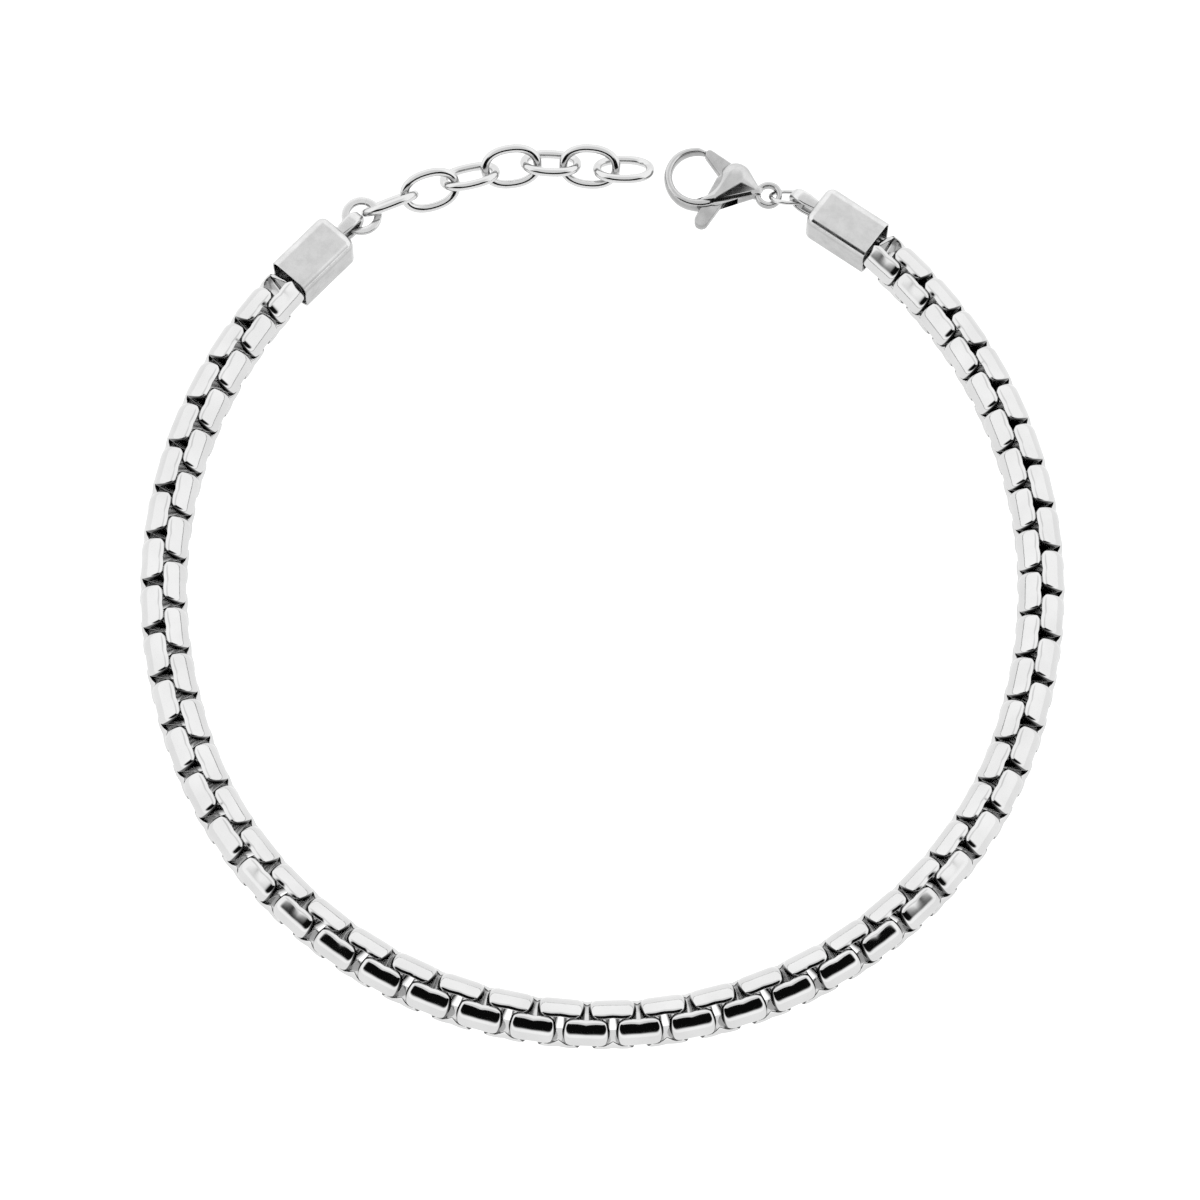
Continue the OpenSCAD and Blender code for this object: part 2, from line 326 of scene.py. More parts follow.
def strip_section(bm, matrix, width, height, edge, segments):
    """Loop of edges round a strip's section, in the XY plane before the matrix."""
    others = set(bm.faces)
    verts = bmesh.ops.create_grid(bm, x_segments=1, y_segments=1, size=0.5)["verts"]
    bmesh.ops.scale(bm, vec=(width, height, 1), verts=verts)
    bevel(bm, verts, edge, segments, "VERTICES")
    face = next(face for face in bm.faces if face not in others)
    section = list(face.edges)
    bmesh.ops.transform(bm, matrix=matrix, verts=list(face.verts))
    bmesh.ops.delete(bm, geom=[face], context="FACES_ONLY")
    return section


def wire_section(bm, matrix, diameter):
    """Loop of edges round a wire's section, in the XY plane before the matrix."""
    made = bmesh.ops.create_circle(bm, segments=detail(24), radius=diameter / 2, matrix=matrix)
    return list(dict.fromkeys(edge for vert in made["verts"] for edge in vert.link_edges))


def straight(bm, edges, step):
    """Draws a section out along a step, and returns its far end."""
    made = bmesh.ops.extrude_edge_only(bm, edges=edges)["geom"]
    bmesh.ops.translate(bm, vec=step, verts=only(bmesh.types.BMVert, made))
    return only(bmesh.types.BMEdge, made)


def bend(bm, edges, centre, axis, angle, steps, closed=False):
    """Draws a section round a bend, and returns its far end. A closed bend is a full turn."""
    verts = dict.fromkeys(vert for edge in edges for vert in edge.verts)
    made = bmesh.ops.spin(
        bm, geom=[*verts, *edges], cent=centre, axis=axis, angle=math.radians(angle), steps=steps,
        use_merge=closed, use_duplicate=False,
    )["geom_last"]
    return only(bmesh.types.BMEdge, made)


def full_turn(bm, edges, steps):
    """Closed ring: turns a section once round Z."""
    bend(bm, edges, ORIGIN, Z_AXIS, 360, steps, closed=True)


# Route of the chain
def flare_part(angle):
    """How far along its flare the route is: 0 round the front and about 1 at the caps."""
    return max(0, (abs(angle) - FLARE_START) / FLARE_SPAN)


def route_radius(angle):
    return LOOP_RADIUS + LOOP_FLARE * flare_part(angle) ** FLARE_POWER


def route_growth(angle):
    """How fast the radius grows, for each radian round the route."""
    slope = LOOP_FLARE * FLARE_POWER * flare_part(angle) ** (FLARE_POWER - 1) / FLARE_SPAN
    return math.copysign(math.degrees(slope), angle)


def route_point(angle):
    return LOOP_CENTRE + route_radius(angle) * Vector((degrees_sin(angle), -degrees_cos(angle)))


def route_heading(angle):
    """Direction of the chain in radians, looking towards the left cap."""
    radius = route_radius(angle)
    growth = route_growth(angle)
    return math.atan2(
        growth * degrees_cos(angle) - radius * degrees_sin(angle),
        -growth * degrees_sin(angle) - radius * degrees_cos(angle),
    )


def route_turn(length, angle):
    """Angle that a length of chain takes up."""
    return math.degrees(length / math.hypot(route_radius(angle), route_growth(angle)))


def link_step(angle):
    return MEAN_STEP + STEP_SWING * degrees_cos(angle) - STEP_SKEW * degrees_sin(angle)


def link_angles():
    """Where the links' middles are, from the right cap to the left one."""
    angles = [FIRST_ANGLE]
    while len(angles) < LINKS:
        angle = angles[-1]
        angles.append(angle - route_turn(link_step(angle), angle))
    return angles


def chain_lean(angle):
    return LEAN_SIDE + (LEAN_FRONT - LEAN_SIDE) * degrees_cos(angle)


def chain_height(angle):
    """Height of the chain's middle, where the links lie corner up and lean."""
    edge = LINK_HEIGHT / 2 - STRIP_CROWN
    reach = math.hypot(edge, STRIP_WIDTH / 2)
    offset = CORNER_UP - math.degrees(math.atan(STRIP_WIDTH / 2 / edge))
    return reach * degrees_cos(max(0, offset - abs(chain_lean(angle))))


# Box chain
def bend_offset(x, y):
    """Offset from the middle of the nearest bend, or from the line between two bends, both parts positive."""
    return Vector((
        max(0, abs(x) - LINK_LENGTH / 2 + LINK_BEND),
        max(0, abs(y) - LINK_HEIGHT / 2 + LINK_BEND),
    ))


def strip_depth(offset):
    """0 on the strip's outer face and 1 on its inner face."""
    return (LINK_BEND - offset.length) / STRIP_THICKNESS


def bend_share(offset):
    """How far the strip has turned, from 0 on a plate to 1 on a link's end."""
    power = BEND_POWER - 1
    least = 1e-3
    return math.atan2(offset.x ** power, max(offset.y, least) ** power) / math.radians(90)


def plain_link():
    """A short ring of strip, with plates facing +Y and -Y and the strip's width along Z."""
    bm = bmesh.new()
    bmesh.ops.create_cube(bm, size=1, matrix=Matrix.Diagonal((LINK_LENGTH, LINK_HEIGHT, STRIP_WIDTH, 1)))
    bevel(bm, edges_where(bm, lambda edge: runs_along(edge, 2)), LINK_BEND, detail(12))
    flats = edges_where(bm, lambda edge: runs_along(edge, 0) or runs_along(edge, 1))
    bmesh.ops.subdivide_edges(bm, edges=flats, cuts=detail(5), use_grid_fill=True)
    bmesh.ops.inset_region(
        bm, faces=faces_towards(bm, Z_AXIS, -Z_AXIS), thickness=STRIP_THICKNESS, use_even_offset=True
    )
    windows = [face for face in faces_towards(bm, Z_AXIS, -Z_AXIS) if len(face.edges) > 4]
    inner_edges = [edge for face in windows for edge in face.edges]
    bmesh.ops.delete(bm, geom=windows, context="FACES_ONLY")
    bmesh.ops.bridge_loops(bm, edges=inner_edges)
    walls = edges_where(bm, lambda edge: runs_along(edge, 2))
    bmesh.ops.subdivide_edges(bm, edges=walls, cuts=detail(9), use_grid_fill=True)
    bm.normal_update()
    return bm


def mark_strip(bm):
    """Notes each vertex's place on the plain link, how far the strip has turned there and how deep it is."""
    place = bm.verts.layers.float_vector.new("link_place")
    turn = bm.verts.layers.float.new("link_turn")
    inside = bm.verts.layers.float.new("link_inside")
    for vert in bm.verts:
        x, y, z = vert.co
        offset = bend_offset(x, y)
        vert[place] = (x, y, z)
        vert[turn] = bend_share(offset)
        vert[inside] = strip_depth(offset) * (1 - (2 * z / STRIP_WIDTH) ** RIM_FADE)


def pressed(x, y, z):
    """Where a point of the plain link goes when the link is pressed to shape. The +Z edge ends up on top."""
    offset = bend_offset(x, y)
    outside = min(1, max(0, 1 - strip_depth(offset)))
    across = z / (STRIP_WIDTH / 2)
    facing = offset.normalized()
    reach = (facing.x ** BEND_POWER + facing.y ** BEND_POWER) ** (-1 / BEND_POWER) if facing.length else 1
    squarer = offset * (reach - 1) * outside
    away = Vector((facing.x ** (BEND_POWER - 1), facing.y ** (BEND_POWER - 1))).normalized()
    crown = away * STRIP_CROWN * across * across * outside
    middle = math.exp(-((x / NOTCH_WIDTH) ** 2))
    lip = INNER_LIP * (1 - outside) * max(0, across) ** 2 * middle if y > 0 else 0
    plate = max(0, 1 - (x / PLATE_REACH) ** 4) if abs(y) > LINK_HEIGHT / 2 - LINK_BEND else 0
    swell = RIDGE_SWELL - PLATE_NOTCH * middle if z > 0 else 0
    rounding = UPPER_ROUNDING if z > 0 else LOWER_ROUNDING
    past = rounding * max(0, abs(x) - END_START) / (LINK_LENGTH / 2 - END_START)
    return Vector((
        x + math.copysign(1, x) * (squarer.x - crown.x),
        y + math.copysign(1, y) * (squarer.y - crown.y) - lip,
        z * (1 + (swell - EDGE_SLANT * outside) * plate) * math.sqrt(1 - past * past),
    ))


def link_mesh():
    """One box link, pressed to shape."""
    bm = plain_link()
    mark_strip(bm)
    rims = edges_where(bm, lambda edge: abs(edge.calc_face_angle(0)) > math.radians(RIM_FOLD))
    bevel(bm, rims, RIM_EDGE, detail(3))
    for vert in bm.verts:
        vert.co = pressed(*vert.co)
    mesh = bpy.data.meshes.new("link")
    bm.to_mesh(mesh)
    bm.free()
    return mesh


def build_chain(paint, angles):
    """Links lie corner up, and every other one is turned end for end, so that the two rows interlock."""
    link = link_mesh()
    rng = random.Random(ROLL_SEED)
    for run in range(RUNS):
        bm = bmesh.new()
        for i in range(run * LINKS // RUNS, (run + 1) * LINKS // RUNS):
            angle = angles[i]
            point = route_point(angle)
            place = Matrix.Translation((point.x, point.y, chain_height(angle)))
            side = 1 if i % 2 == 0 else -1
            roll = -CORNER_UP - side * (chain_lean(angle) + rng.uniform(-LOOSE_ROLL, LOOSE_ROLL))
            lie = Matrix.Rotation(route_heading(angle), 4, "Z") @ turned(roll, 0, 90 - 90 * side)
            stretch = 1 + GAP_FILL * (2 * link_step(angle) / LINK_LENGTH - 1)
            add_copy(bm, link, place @ lie @ Matrix.Diagonal((stretch, 1, 1, 1)))
        smooth_piece(bm, f"chain_links_{run + 1}", f"chain_run_{run + 1}", paint)
    bpy.data.meshes.remove(link)


# End caps
def at_mouth(edge):
    """True for an edge between the flat rim of the cap's mouth and its outer or inner wall."""
    on_rim = all(abs(vert.co.x) < SAME_PLACE for vert in edge.verts)
    return on_rim and any(abs(face.normal.x) < SQUARE_TO for face in edge.link_faces)


def cap_shape():
    """Square cap along X from its open mouth, with round long edges and a round closed end."""
    bm = bmesh.new()
    size = Matrix.Diagonal((CAP_LENGTH, CAP_SIDE, CAP_SIDE, 1))
    bmesh.ops.create_cube(bm, size=1, matrix=Matrix.Translation((CAP_LENGTH / 2, 0, 0)) @ size)
    bevel(bm, edges_where(bm, lambda edge: runs_along(edge, 0)), CAP_EDGE, detail(7))
    closed_end = faces_towards(bm, X_AXIS)
    bevel(bm, [edge for face in closed_end for edge in face.edges], CAP_CORNER, detail(6))
    mouth = faces_towards(bm, -X_AXIS)
    bmesh.ops.inset_region(bm, faces=mouth, thickness=CAP_WALL, use_even_offset=True)
    pocket = bmesh.ops.extrude_face_region(bm, geom=mouth)["geom"]
    bmesh.ops.delete(bm, geom=mouth, context="FACES")
    bmesh.ops.translate(bm, vec=POCKET_DEPTH * X_AXIS, verts=only(bmesh.types.BMVert, pocket))
    bevel(bm, edges_where(bm, at_mouth), MOUTH_EDGE, 2)
    return bm


def add_cap_loop(bm):
    """Upright loop of strip on the cap's closed end, swelling a little in its middle."""
    radius = (LOOP_HEIGHT - LOOP_THICKNESS) / 2
    length = LOOP_REACH - LOOP_HEIGHT / 2
    start = Matrix.Translation((CAP_LENGTH - LOOP_ROOT, 0, -radius)) @ turned(90, 0, 90)
    edges = strip_section(bm, start, LOOP_WIDTH, LOOP_THICKNESS, LOOP_EDGE, detail(4))
    step = (length + LOOP_ROOT) / LOOP_LEG_PARTS * X_AXIS
    for _ in range(LOOP_LEG_PARTS):
        edges = straight(bm, edges, step)
    edges = bend(bm, edges, (CAP_LENGTH + length, 0, 0), (0, -1, 0), 180, detail(20))
    for _ in range(LOOP_LEG_PARTS):
        edges = straight(bm, edges, -step)
    for vert in bm.verts:
        share = (vert.co.x - CAP_LENGTH) / LOOP_REACH
        if share > 0:
            vert.co.y *= 1 + LOOP_SWELL * math.sin(math.pi * min(1, share))


def build_caps(paint, angles):
    reach = LINK_LENGTH / 2 - LINK_ENTRY
    mouths = {
        "right": angles[0] + route_turn(reach, angles[0]),
        "left": angles[-1] - route_turn(reach, angles[-1]),
    }
    for side, mouth in mouths.items():
        bm = cap_shape()
        add_cap_loop(bm)
        point = route_point(mouth)
        place = Matrix.Translation((point.x, point.y, CAP_SIDE / 2)) @ turned(0, 0, CAP_HEADING[side])
        bmesh.ops.transform(bm, matrix=place, verts=bm.verts)
        smooth_piece(bm, f"cap_{side}", f"end_cap_{side}", paint)


# Extender and rings
def oval_shape():
    """Oval link of round wire, lying flat: a ring whose middle line is drawn out to an oval."""
    bm = bmesh.new()
    ring_radius = 1
    edges = wire_section(bm, Matrix.Translation((ring_radius, 0, 0)) @ turned(90, 0, 0), EXTENDER_WIRE)
    full_turn(bm, edges, detail(72))
    long = (EXTENDER_LENGTH - EXTENDER_WIRE) / 2
    short = (EXTENDER_WIDTH - EXTENDER_WIRE) / 2
    for vert in bm.verts:
        angle = math.atan2(vert.co.y, vert.co.x)
        x = signed_power(math.cos(angle), 2 / OVAL_POWER)
        y = signed_power(math.sin(angle), 2 / OVAL_POWER)
        outward = Vector((signed_power(x, OVAL_POWER - 1) / long, signed_power(y, OVAL_POWER - 1) / short))
        out = outward.normalized() * (vert.co.xy.length - ring_radius)
        vert.co = Vector((long * x + out.x, short * y + out.y, vert.co.z))
    return bm


def build_extender(paint):
    """Each link tilts about its long axis and rests on the table with its lower side."""
    radius = (EXTENDER_WIDTH - EXTENDER_WIRE) / 2
    for k, (x, y, heading, tilt) in enumerate(EXTENDER, start=1):
        bm = oval_shape()
        height = radius * abs(degrees_sin(tilt)) + EXTENDER_WIRE / 2
        place = Matrix.Translation((x, y, height)) @ turned(tilt, 0, heading)
        bmesh.ops.transform(bm, matrix=place, verts=bm.verts)
        smooth_piece(bm, f"oval_link_{k}", f"extender_link_{k}", paint)


def build_flat_ring(paint):
    """Ring of flat strip, open at its joint."""
    bm = bmesh.new()
    radius = (FLAT_RING_D - FLAT_RING_BAND) / 2
    start = Matrix.Translation((radius, 0, 0)) @ turned(90, 0, 0)
    edges = strip_section(bm, start, FLAT_RING_BAND, FLAT_RING_THICKNESS, FLAT_RING_EDGE, 2)
    bmesh.ops.contextual_create(bm, geom=edges)
    last = bend(bm, edges, ORIGIN, Z_AXIS, FLAT_RING_SWEEP, detail(72))
    bmesh.ops.contextual_create(bm, geom=last)
    place = Matrix.Translation(FLAT_RING_PLACE) @ turned(0, 0, FLAT_RING_JOINT)
    bmesh.ops.transform(bm, matrix=place, verts=bm.verts)
    smooth_piece(bm, "flat_open_ring", "flat_ring", paint)


def build_clasp_ring(paint):
    """Closed ring of round wire."""
    bm = bmesh.new()
    radius = (CLASP_RING_D - CLASP_RING_WIRE) / 2
    edges = wire_section(bm, Matrix.Translation((radius, 0, 0)) @ turned(90, 0, 0), CLASP_RING_WIRE)
    full_turn(bm, edges, detail(64))
    place = Matrix.Translation(CLASP_RING_PLACE) @ turned(*CLASP_RING_TURN)
    bmesh.ops.transform(bm, matrix=place, verts=bm.verts)
    smooth_piece(bm, "round_ring", "clasp_ring", paint)


# Lobster clasp
def hull_shape(discs, levels, extra=0.0):
    """Convex solid over round discs, its edges rounded off by levels and its outside moved out by extra."""
    bm = bmesh.new()
    for x, y, radius, half in discs:
        for share, drawn_in in levels:
            for side in (-1, 1):
                bmesh.ops.create_circle(
                    bm, segments=detail(64), radius=max(radius + extra - drawn_in, SMALLEST_DISC),
                    matrix=Matrix.Translation((x, y, side * share * (half + extra))),
                )
    hull = bmesh.ops.convex_hull(bm, input=bm.verts)
    waste = dict.fromkeys(only(bmesh.types.BMVert, hull["geom_interior"] + hull["geom_unused"]))
    bmesh.ops.delete(bm, geom=list(waste), context="VERTS")
    bmesh.ops.delete(bm, geom=edges_where(bm, lambda edge: not edge.link_faces), context="EDGES")
    bmesh.ops.dissolve_limit(bm, angle_limit=math.radians(HULL_FLATNESS), verts=bm.verts, edges=bm.edges)
    bmesh.ops.recalc_face_normals(bm, faces=bm.faces)
    return bm


def combine(base, others):
    """Unites or cuts shapes: each row of others has a shape and UNION or DIFFERENCE. Returns one shape."""
    whole = object_from(base, "whole")
    tools = []
    for k, (shape, kind) in enumerate(others):
        tool = object_from(shape, f"tool_{k}")
        step = whole.modifiers.new(f"step_{k}", "BOOLEAN")
        step.operation = kind
        step.solver = "EXACT"
        step.object = tool
        tools.append(tool)
    bpy.context.view_layer.update()
    made = bpy.data.meshes.new_from_object(whole.evaluated_get(bpy.context.evaluated_depsgraph_get()))
    for item in [whole, *tools]:
        mesh = item.data
        bpy.data.objects.remove(item)
        bpy.data.meshes.remove(mesh)
    bm = bmesh.new()
    bm.from_mesh(made)
    bpy.data.meshes.remove(made)
    bmesh.ops.remove_doubles(bm, verts=bm.verts, dist=SAME_PLACE)
    return bm


def hook_size(angle):
    """Width and half height of the hook's bar at an angle, eased from row to row."""
    angle = min(max(angle, HOOK_SHAPE[0][0]), HOOK_SHAPE[-1][0])
    low, high = next((low, high) for low, high in zip(HOOK_SHAPE, HOOK_SHAPE[1:]) if angle <= high[0])
    share = (angle - low[0]) / (high[0] - low[0])
    eased = share * share * (3 - 2 * share)
    return tuple(start + eased * (end - start) for start, end in zip(low[1:], high[1:]))


def angle_round(point):
    """Angle of a point round Z, from 0 to 360 degrees."""
    return math.degrees(math.atan2(point.y, point.x)) % 360


def hook_shape():
    """Bar of the hook: a plain round bar swept round its centre and then sized, thinner towards the tip."""
    bm = bmesh.new()
    first = HOOK_SHAPE[-1][0]
    last = HOOK_SHAPE[0][0]
    bar = 1
    radius = HOOK_INNER + bar / 2
    start = turned(0, 0, first) @ Matrix.Translation((radius, 0, 0)) @ turned(90, 0, 0)
    edges = wire_section(bm, start, bar)
    bmesh.ops.contextual_create(bm, geom=edges)
    edges = bend(bm, edges, ORIGIN, -Z_AXIS, first - last, detail(72))
    bmesh.ops.contextual_create(bm, geom=edges)
    for vert in bm.verts:
        angle = angle_round(vert.co)
        width, half = hook_size(angle)
        share = max(-1, min(1, 2 * (vert.co.xy.length - radius) / bar))
        reach = HOOK_INNER + width / 2 * (1 + signed_power(share, HOOK_FULLNESS))
        rise = signed_power(2 * vert.co.z / bar, HOOK_FULLNESS) * half
        vert.co = Vector((reach * degrees_cos(angle), reach * degrees_sin(angle), rise))
    ends = [face for face in bm.faces if len(face.edges) > 4]
    tip = min(ends, key=lambda face: abs(angle_round(face.calc_center_median()) - last))
    bevel(bm, list(tip.edges), HOOK_TIP_EDGE, 3)
    bmesh.ops.translate(bm, vec=HOOK_CENTRE, verts=bm.verts)
    bmesh.ops.recalc_face_normals(bm, faces=bm.faces)
    return bm


def drum(centre, radius, half):
    """Upright cylinder."""
    bm = bmesh.new()
    bmesh.ops.create_cone(
        bm, cap_ends=True, segments=detail(96), radius1=radius, radius2=radius, depth=2 * half,
        matrix=Matrix.Translation(centre),
    )
    return bm


def eye_shape():
    """Round eye of the clasp, with rounded edges."""
    bm = bmesh.new()
    place = Matrix.Translation(((EYE_RADIUS + EYE_HOLE) / 2, 0, 0)) @ turned(90, 0, 0)
    edges = strip_section(bm, place, EYE_RADIUS - EYE_HOLE, EYE_THICKNESS, EYE_EDGE, 4)
    full_turn(bm, edges, detail(64))
    bmesh.ops.translate(bm, vec=EYE_CENTRE, verts=bm.verts)
    bmesh.ops.recalc_face_normals(bm, faces=bm.faces)
    return bm


def swept_slab(discs):
    """Plain slab over the room that a part of the lever needs as it turns, for cutting its slot."""
    reached = []
    for x, y, radius, half in discs:
        for spin in (0, LEVER_TRAVEL / 2, LEVER_TRAVEL):
            place = turned(0, 0, spin) @ Vector((x, y, 0))
            reached.append((place.x, place.y, radius, half))
    return hull_shape(reached, SQUARE, LEVER_GAP)


def build_clasp_body(paint):
    """Two cheeks with the lever's slot between them, joined to the hook and the eye."""
    body = hull_shape((BODY_TOP, BODY_FRONT, BODY_NECK), DOME)
    root = hull_shape((BODY_ROOT, BODY_FRONT), DOME)
    cheek_steps = [(root, "UNION"), (drum(HOOK_CENTRE, HOOK_INNER, RIGHT_THROUGH), "DIFFERENCE")]
    cheek_steps += [(swept_slab(part), "DIFFERENCE") for part in LEVER_PARTS]
    whole = combine(combine(body, cheek_steps), [
        (hook_shape(), "UNION"),
        (hull_shape((BODY_NECK, EYE_NECK), PLATE), "UNION"),
        (drum(EYE_CENTRE, EYE_HOLE, RIGHT_THROUGH), "DIFFERENCE"),
        (eye_shape(), "UNION"),
    ])
    bmesh.ops.translate(whole, vec=PIVOT, verts=whole.verts)
    smooth_piece(whole, "clasp_shell", "clasp_body", paint, soft_angle=CLASP_SOFT_ANGLE)


def build_pin(paint):
    """Pin that the lever turns on."""
    pin = drum(PIVOT, PIN_RADIUS, PIN_HALF)
    smooth_piece(pin, "pivot_pin", "lever_pin", paint)


def build_lever(paint):
    """Gate and thumb tab in one, with a bore for the pin."""
    gate, tab_root, tab = (hull_shape(part, PLATE) for part in LEVER_PARTS)
    bore = drum(ORIGIN, LEVER_BORE, RIGHT_THROUGH)
    lever = combine(gate, [(tab_root, "UNION"), (tab, "UNION"), (bore, "DIFFERENCE")])
    bmesh.ops.translate(lever, vec=PIVOT, verts=lever.verts)
    smooth_piece(
        lever, "gate_and_tab", "clasp_lever", paint, body="lever", soft_angle=CLASP_SOFT_ANGLE
    )


# Materials
class Value:
    """A shader value that takes part in plain arithmetic."""

    def __init__(self, paint, socket):
        self.paint = paint
        self.socket = socket

    def maths(self, kind, first, second):
        return self.paint.add("ShaderNodeMath", {"operation": kind}, {0: first, 1: second})

    def __add__(self, other):
        return self.maths("ADD", self, other)

    __radd__ = __add__

    def __mul__(self, other):
        return self.maths("MULTIPLY", self, other)

    __rmul__ = __mul__

    def __sub__(self, other):
        return self.maths("SUBTRACT", self, other)

    def __rsub__(self, other):
        return self.maths("SUBTRACT", other, self)

    def __pow__(self, other):
        return self.maths("POWER", self, other)

    def between(self, low, high, to_low=0.0, to_high=1.0):
        """Smooth step from to_low at low to to_high at high."""
        return self.paint.add(
            "ShaderNodeMapRange", {"interpolation_type": "SMOOTHSTEP"},
            {"Value": self, "From Min": low, "From Max": high, "To Min": to_low, "To Max": to_high},
        )


class Paint:
    """The nodes of a material or of the world, built one by one."""

    def __init__(self, owner):
        owner.use_nodes = True
        self.owner = owner
        self.tree = owner.node_tree
        self.tree.nodes.clear()

    def add(self, kind, settings, inputs, out=0):
        """Adds a node, with values or links at its inputs, and returns one of its outputs."""
        node = self.tree.nodes.new(kind)
        for key, value in settings.items():
            setattr(node, key, value)
        for key, value in inputs.items():
            if isinstance(value, Value):
                self.tree.links.new(value.socket, node.inputs[key])
            else:
                node.inputs[key].default_value = value
        return Value(self, node.outputs[out])

    def output(self, shader, kind="ShaderNodeOutputMaterial"):
        node = self.tree.nodes.new(kind)
        self.tree.links.new(shader.socket, node.inputs["Surface"])

    def attribute(self, name, out="Vector"):
        return self.add("ShaderNodeAttribute", {"attribute_name": name}, {}, out)

    def mapped(self, vector, stretch=(1, 1, 1), turn=(0, 0, 0)):
        return self.add("ShaderNodeMapping", {}, {"Vector": vector, "Rotation": turn, "Scale": stretch})

    def place(self, stretch=(1, 1, 1), turn=(0, 0, 0)):
        """Object coordinates in millimetres, stretched and turned."""
        coordinates = self.add("ShaderNodeTexCoord", {}, {}, "Object")
        return self.mapped(coordinates, tuple(part / MM for part in stretch), turn)

    def noise(self, place, scale, octaves, roughness=0.5):
        return self.add(
            "ShaderNodeTexNoise", {},
            {"Vector": place, "Scale": scale, "Detail": octaves, "Roughness": roughness}, "Fac",
        )

    def parts(self, vector):
        """X, Y and Z of a vector."""
        node = self.tree.nodes.new("ShaderNodeSeparateXYZ")
        self.tree.links.new(vector.socket, node.inputs[0])
        return [Value(self, output) for output in node.outputs]

    def grey(self, value):
        return self.add("ShaderNodeCombineColor", {}, {"Red": value, "Green": value, "Blue": value})

    def bump(self, height, strength):
        return self.add(
            "ShaderNodeBump", {}, {"Height": height, "Strength": strength, "Distance": BUMP_DEPTH * MM}
        )

    def metal(self, tone, roughness, normal):
        """Steel of a tone from 0 to 1. Returns the finished material."""
        colour = self.grey(tone * STEEL)
        self.output(self.add(
            "ShaderNodeBsdfPrincipled", {},
            {"Base Color": colour, "Metallic": 1.0, "Roughness": roughness, "Normal": normal},
        ))
        return self.owner


def new_paint(name):
    return Paint(bpy.data.materials.new(name))


def chain_polish():
    """Bright polish with fine hairlines, duller with painted shade inside the links, painted shade where the
    strip bends.
    """
    paint = new_paint("chain_polish")
    strip = paint.attribute("link_place")
    turn = paint.attribute("link_turn", "Fac")
    # Painted shade inside the links; the same mask also makes them a little rougher there
    inside = paint.attribute("link_inside", "Fac").between(0.3, 0.95)
    # Painted shade: a dark line round each link's end where the strip bends away
    bend_shade = turn.between(0.4, 0.52) * turn.between(0.84, 0.97, 1.0, 0.05)
    hairlines = paint.noise(paint.mapped(strip, (0.5, 9, 9)), scale=4.0, octaves=3.0, roughness=0.6)
    smudges = paint.noise(paint.place(), scale=0.35, octaves=3.0)
    pits = paint.noise(paint.place(), scale=9.0, octaves=2.0, roughness=0.7)
    tone = (CHAIN_TONE - CHAIN_SMUDGE * smudges) * (1 - CHAIN_INSIDE_SHADE * inside) * (1 - CHAIN_BEND_SHADE * bend_shade)
    roughness = 0.05 + 0.05 * smudges + 0.06 * hairlines.between(0.55, 0.8) + 0.03 * inside
    return paint.metal(tone, roughness, paint.bump(0.7 * hairlines + 0.3 * pits, CHAIN_BUMP))


def wire_polish():
    """Bright drawn wire with light rubbing marks."""
    paint = new_paint("wire_polish")
    smudges = paint.noise(paint.place(), scale=0.6, octaves=3.0)
    marks = paint.noise(paint.place((3, 3, 1), (0.4, 0.2, 0.9)), scale=5.0, octaves=3.0, roughness=0.65)
    tone = WIRE_TONE - WIRE_SMUDGE * smudges
    roughness = 0.07 + 0.06 * smudges + 0.08 * marks.between(0.55, 0.8)
    return paint.metal(tone, roughness, paint.bump(marks, WIRE_BUMP))


def satin(name, tone, roughness, cloud, grain):
    """Fine satin steel with clouds and grain, its upright faces rougher than its tops and painted darker as
    shade.
    """
    paint = new_paint(name)
    facing = paint.add("ShaderNodeNewGeometry", {}, {}, "Normal")
    upright = paint.parts(facing)[2].between(0.2, 0.75, 1.0, 0.0)
    clouds = paint.noise(paint.place(), scale=0.75, octaves=5.0, roughness=0.65).between(0.35, 0.68)
    specks = paint.noise(paint.place(), scale=14.0, octaves=2.0, roughness=0.7)
    lines = paint.noise(paint.place((1, 8, 8), (0, 0, 0.5)), scale=3.0, octaves=2.0)
    # Upright faces are painted darker, as painted shade
    shade = (tone - cloud * clouds) * (1 - SATIN_UPRIGHT_SHADE * upright) - SATIN_SPECKS * specks * (0.4 + upright)
    dull = roughness + 0.08 * clouds + 0.04 * lines
    height = (specks + 0.5 * lines) * (0.6 + upright)
    return paint.metal(shade, dull, paint.bump(height, grain))


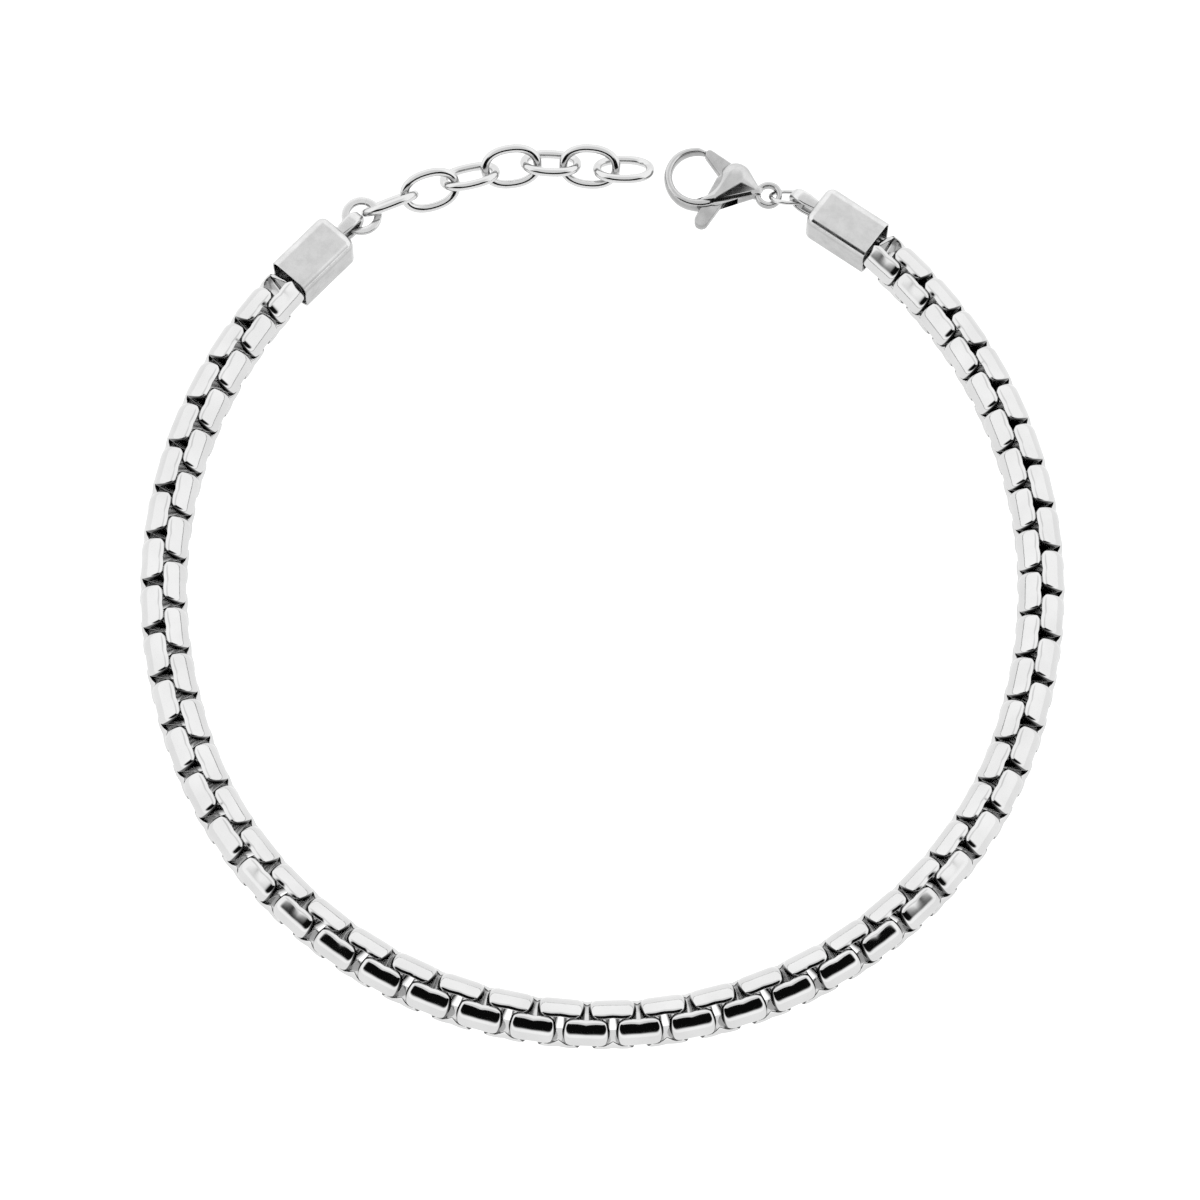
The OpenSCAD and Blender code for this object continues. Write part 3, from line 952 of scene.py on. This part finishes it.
# Studio
def build_table():
    """White table that gives off light of its own, so that the shadows on it stay white too."""
    paint = new_paint("white_table")
    matt = paint.add("ShaderNodeBsdfDiffuse", {}, {"Color": (TABLE_GREY, TABLE_GREY, TABLE_GREY, 1)})
    glow = paint.add("ShaderNodeEmission", {}, {"Color": (1, 1, 1, 1), "Strength": TABLE_GLOW})
    paint.output(paint.add("ShaderNodeAddShader", {}, {0: matt, 1: glow}))
    bm = bmesh.new()
    bmesh.ops.create_grid(bm, x_segments=1, y_segments=1, size=TABLE_REACH * MM)
    top = object_from(bm, "table_top")
    top.data.materials.append(paint.owner)


def build_light():
    """White studio, darker overhead, with a black band on the viewer's side that the front links mirror."""
    world = bpy.data.worlds.new("soft_studio")
    bpy.context.scene.world = world
    paint = Paint(world)
    direction = paint.add("ShaderNodeTexCoord", {}, {}, "Generated")
    back, up = paint.parts(direction)[1:]
    horizontal = (1 - up * up) ** 0.5
    band = up.between(*BAND_START) * up.between(*BAND_END, 1.0, 0.0)
    viewer_side = (back + BAND_SPREAD * horizontal).between(-BAND_BLUR, BAND_BLUR, 1.0, 0.0)
    sky = up.between(*OVERHEAD, SKY_LEVEL, OVERHEAD_LEVEL)
    light = sky * (1 - BAND_DARKNESS * (band * viewer_side))
    background = paint.add("ShaderNodeBackground", {}, {"Color": paint.grey(light), "Strength": 1 / STEEL})
    paint.output(background, "ShaderNodeOutputWorld")


def build_camera():
    camera = bpy.data.cameras.new("viewer")
    camera.lens = CAMERA_LENS
    camera.sensor_width = CAMERA_SENSOR
    camera.clip_start, camera.clip_end = CAMERA_CLIP
    seat = bpy.data.objects.new("viewer", camera)
    bpy.context.collection.objects.link(seat)
    away = Vector((0, -degrees_sin(CAMERA_TILT), degrees_cos(CAMERA_TILT)))
    seat.location = (CAMERA_TARGET + CAMERA_DISTANCE * away) * MM
    seat.rotation_euler = (math.radians(CAMERA_TILT), 0, 0)
    bpy.context.scene.camera = seat


angles = link_angles()
build_chain(chain_polish(), angles)
build_caps(satin("cap_satin", *CAP_SATIN), angles)
wire = wire_polish()
build_extender(wire)
build_flat_ring(satin("ring_satin", *RING_SATIN))
build_clasp_ring(wire)
build_clasp_body(satin("clasp_satin", *CLASP_SATIN))
lever_satin = satin("lever_satin", *LEVER_SATIN)
build_pin(lever_satin)
build_lever(lever_satin)
build_table()
build_light()
build_camera()
bpy.context.scene.view_settings.view_transform = "Standard"
